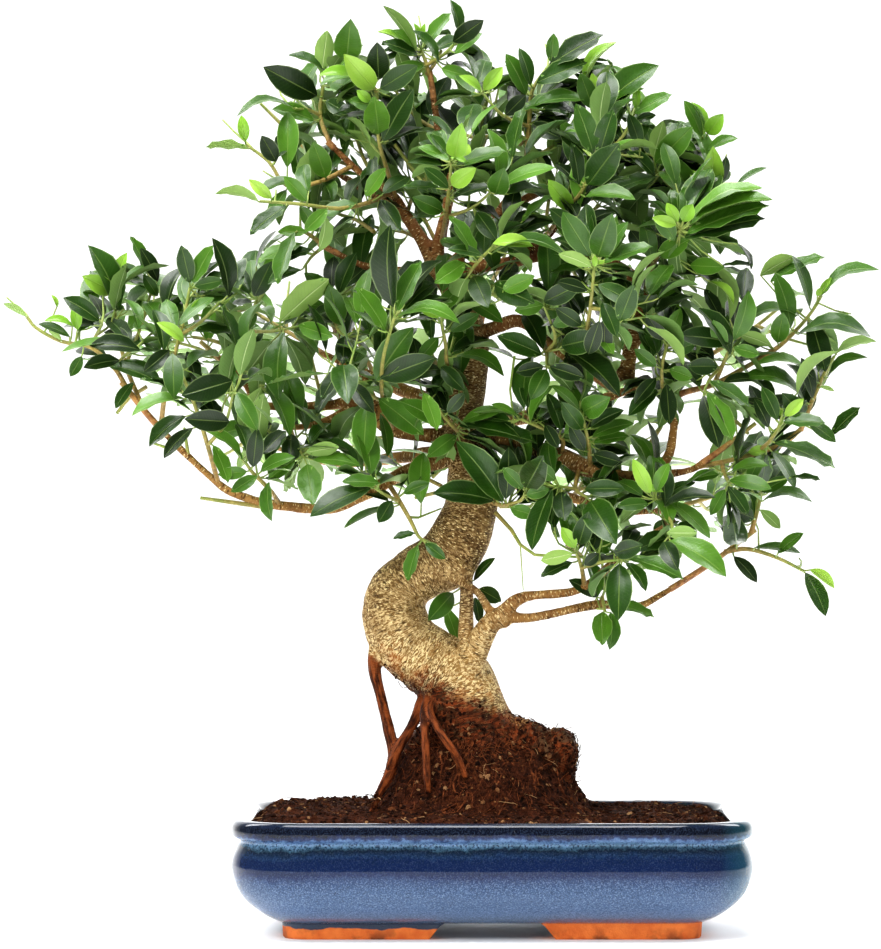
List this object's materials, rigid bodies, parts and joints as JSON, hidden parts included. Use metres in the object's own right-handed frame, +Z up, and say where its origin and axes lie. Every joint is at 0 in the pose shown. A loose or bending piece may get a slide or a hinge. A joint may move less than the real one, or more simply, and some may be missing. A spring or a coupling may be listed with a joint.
{
  "type": "chinese banyan bonsai",
  "caption": "Chinese banyan bonsai with a curved trunk, hanging air roots and a spreading crown of small oval leaves, in a shallow glazed pot on low feet.",
  "frame": {"origin": "on the surface that the pot's feet stand on, under the middle of the whole plant's box seen from above", "axes": "+Z up; seen from the front, +X to the right and -Y towards the viewer; the pot's long side is along X"},
  "size_m": [0.6026, 0.3392, 0.6328],
  "materials": {
    "glaze": "glossy mottled blue glaze over orange clay",
    "drain_mesh": "matte black plastic mesh",
    "soil": "crumbly dark brown peat with fine roots",
    "bark": "tan bark with fine pale cross-grain flecks",
    "leaf": "waxy semi-gloss green leaves on thin twigs"
  },
  "bodies": {
    "root": {"pot": "glaze", "drain_screen_left": "drain_mesh", "drain_screen_right": "drain_mesh", "soil": "soil", "trunk": "bark", "spray_left_tip": "leaf", "spray_left_rise": "leaf", "spray_left_middle": "leaf", "spray_left_inner": "leaf", "spray_left_arm": "leaf", "spray_left_lower_arm": "leaf", "spray_left_low": "leaf", "spray_left_hanging": "leaf", "spray_left_front": "leaf", "spray_left_crown_low": "leaf", "spray_left_crown_dark": "leaf", "spray_crown_left_top": "leaf", "spray_crown_left": "leaf", "spray_crown_left_shoot": "leaf", "spray_crown_left_out": "leaf", "spray_crown_apex": "leaf", "spray_crown_right_top": "leaf", "spray_crown_right": "leaf", "spray_right_shoulder": "leaf", "spray_right_whorl": "leaf", "spray_centre_right": "leaf", "spray_crown_front_right": "leaf", "spray_crown_front": "leaf", "spray_centre_front": "leaf", "spray_centre_low": "leaf", "spray_trunk_shoot": "leaf", "spray_trunk_front": "leaf", "spray_trunk_low": "leaf", "spray_right_upright": "leaf", "spray_right_slender": "leaf", "spray_right_arm_tuft": "leaf", "spray_right_reach": "leaf", "spray_right_shoot_high": "leaf", "spray_right_shoot_low": "leaf", "spray_right_fork": "leaf", "spray_right_fork_low": "leaf", "spray_low_right_tip": "leaf", "spray_low_right_end": "leaf", "spray_low_right_pendant": "leaf", "spray_low_right_front": "leaf", "spray_low_right_drop": "leaf", "spray_right_inner": "leaf", "spray_back_low_left": "leaf", "spray_back_left_inner": "leaf", "spray_back_left": "leaf", "spray_back_left_mid": "leaf", "spray_back_centre": "leaf", "spray_back_right": "leaf", "spray_back_right_mid": "leaf", "spray_back_low_right": "leaf", "spray_back_low_mid": "leaf", "spray_back_top": "leaf", "spray_back_top_left": "leaf", "spray_back_top_right": "leaf"}
  },
  "joints": []
}
